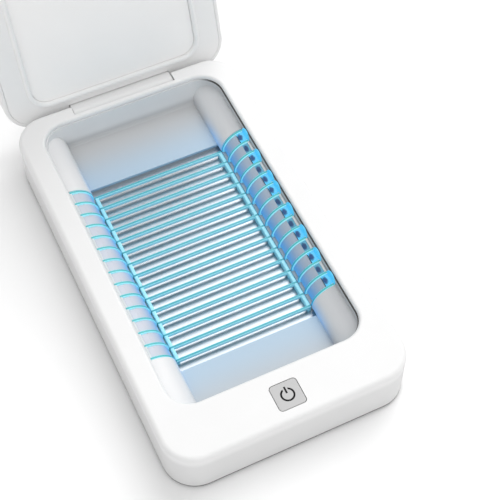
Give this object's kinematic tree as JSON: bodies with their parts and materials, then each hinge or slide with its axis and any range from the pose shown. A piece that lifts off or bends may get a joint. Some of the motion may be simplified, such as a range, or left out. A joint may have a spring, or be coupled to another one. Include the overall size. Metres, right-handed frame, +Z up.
{
  "type": "uv sanitizer box for phones",
  "caption": "Low rectangular box with a hinged lid, a lamp chamber with a ribbed cradle for a phone, and a flush power button.",
  "frame": {"origin": "centre of the base's footprint, on the surface under the four feet", "axes": "+X to the right, +Y to the rear (hinge), front with the button faces -Y, +Z up; stored with the lid open on its stop"},
  "size_m": [0.128, 0.2956, 0.2348],
  "materials": {
    "housing_white": "fine satin texture",
    "liner_grey": "satin",
    "panel_grey": "satin",
    "tub_grey": "satin",
    "plate_grey": "matt",
    "foot_rubber": "matt",
    "steel_screw": "turned",
    "reflector": "bright rolled sheet",
    "cradle_plastic": "slightly glossy",
    "lamp_quartz": "clear quartz",
    "lamp_cap_metal": "drawn",
    "holder_silicone": "matt silicone",
    "board_green": "solder mask",
    "transformer": "wound and taped",
    "capacitor": "sleeved",
    "connector": "nylon",
    "switch_black": "matt",
    "plunger": "matt",
    "button_grey": "satin",
    "sign_dark": "printed",
    "socket_steel": "drawn shell",
    "lead_sleeve": "extruded",
    "wire_white": "silicone sleeve",
    "ribbon_grey": "ribbon",
    "magnet_nickel": "nickel plated",
    "pin_steel": "ground"
  },
  "bodies": {
    "base": {"base_shell": "housing_white", "base_plate": "plate_grey", "rubber_feet": "foot_rubber", "base_screws": "steel_screw", "chamber_tub": "tub_grey", "tub_screws": "steel_screw", "reflector_tray": "reflector", "floor_grid": "cradle_plastic", "guard_left": "cradle_plastic", "guard_right": "cradle_plastic", "lamp_left": "lamp_quartz", "lamp_right": "lamp_quartz", "lamp_caps": "lamp_cap_metal", "lamp_holders": "holder_silicone", "driver_board": "board_green", "driver_transformers": "transformer", "driver_capacitors": "capacitor", "driver_connectors": "connector", "driver_screws": "steel_screw", "control_board": "board_green", "control_screws": "steel_screw", "switch_body": "switch_black", "inlet_board": "board_green", "inlet_socket": "socket_steel", "inlet_screws": "steel_screw", "power_lead": "lead_sleeve", "lamp_leads": "wire_white", "control_lead": "ribbon_grey", "base_magnets": "magnet_nickel", "hinge_pin": "pin_steel"},
    "lid": {"hinge_lug": "housing_white", "hinge_screws": "steel_screw", "lid_shell": "housing_white", "lid_liner": "liner_grey", "lid_panel": "panel_grey", "lid_screws": "steel_screw", "lid_magnets": "magnet_nickel"},
    "button": {"power_button": "button_grey", "power_sign": "sign_dark", "switch_plunger": "plunger"}
  },
  "joints": [
    {"name": "lid_hinge", "type": "hinge", "parent": "base", "child": "lid", "pos_m": [0, 0.1076, 0.0253], "axis": [1, 0, 0], "range_deg": [0, 105]},
    {"name": "button_press", "type": "slide", "parent": "base", "child": "button", "axis": [0, 0, -1], "range_m": [0, 0.0006], "stiffness_N_per_m": 2500}
  ]
}
